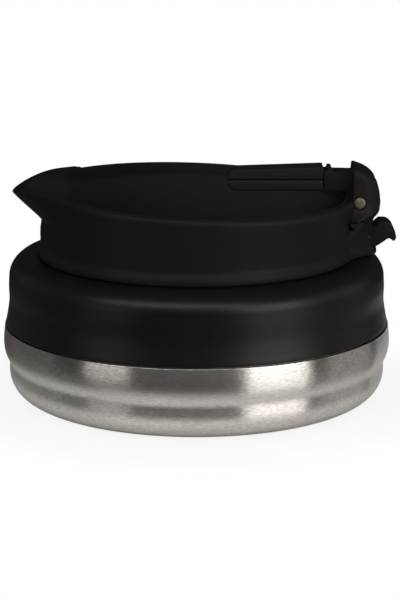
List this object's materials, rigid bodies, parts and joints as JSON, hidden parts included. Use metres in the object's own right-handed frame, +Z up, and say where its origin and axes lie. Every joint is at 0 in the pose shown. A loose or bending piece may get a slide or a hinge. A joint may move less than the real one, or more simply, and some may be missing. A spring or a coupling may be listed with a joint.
{
  "type": "collapsible kettle",
  "caption": "Folding kettle with a steel pan, a soft wall that folds into itself, a hard pouring collar with a spout, a drop-in lid and a handle that folds over the mouth.",
  "frame": {"origin": "centre of the pan's flat underside", "axes": "+Z up, the spout along -X, the handle bracket along +X"},
  "size_m": [0.1824, 0.18, 0.1071],
  "materials": {
    "pan_steel": "stainless steel brushed round the pan",
    "plain_steel": "plain stainless steel",
    "silicone": "satin black silicone",
    "black_nylon": "satin black nylon",
    "bush_brass": "turned brass"
  },
  "bodies": {
    "base": {"steel_pan": "pan_steel", "neck_ring": "plain_steel", "hem_ring": "plain_steel", "silicone_sleeve": "silicone", "silicone_folding_wall": "silicone"},
    "collar": {"silicone_upper_wall": "silicone", "pouring_collar": "black_nylon", "cuff_ring": "black_nylon", "handle_pin": "plain_steel", "pin_clip": "plain_steel", "catch_pin": "plain_steel", "catch_leaf_spring": "plain_steel"},
    "handle": {"handle_arm": "black_nylon", "grip_upper": "black_nylon", "grip_lower": "black_nylon", "grip_screw_inner": "plain_steel", "grip_screw_outer": "plain_steel", "eye_bush": "bush_brass", "washer_near": "black_nylon", "washer_far": "black_nylon"},
    "catch": {"handle_catch": "black_nylon"},
    "lid": {"lid_disc": "black_nylon", "lid_gasket": "silicone", "lid_knob": "black_nylon", "lid_screw": "plain_steel"}
  },
  "joints": [
    {"name": "collar_lift", "type": "slide", "parent": "base", "child": "collar", "axis": [0, 0, 1], "range_m": [0, 0.06], "deforming": ["silicone_folding_wall"]},
    {"name": "handle_fold", "type": "hinge", "parent": "collar", "child": "handle", "pos_m": [0.0746, 0, 0.0915], "axis": [0, 1, 0], "range_deg": [0, 145]},
    {"name": "catch_press", "type": "hinge", "parent": "collar", "child": "catch", "pos_m": [0.0785, 0, 0.075], "axis": [0, 1, 0], "range_deg": [0, 8], "stiffness_Nm_per_rad": 0.4, "deforming": ["catch_leaf_spring"]},
    {"name": "lid_lift", "type": "slide", "parent": "collar", "child": "lid", "axis": [0, 0, 1], "range_m": [0, 0.03]}
  ]
}
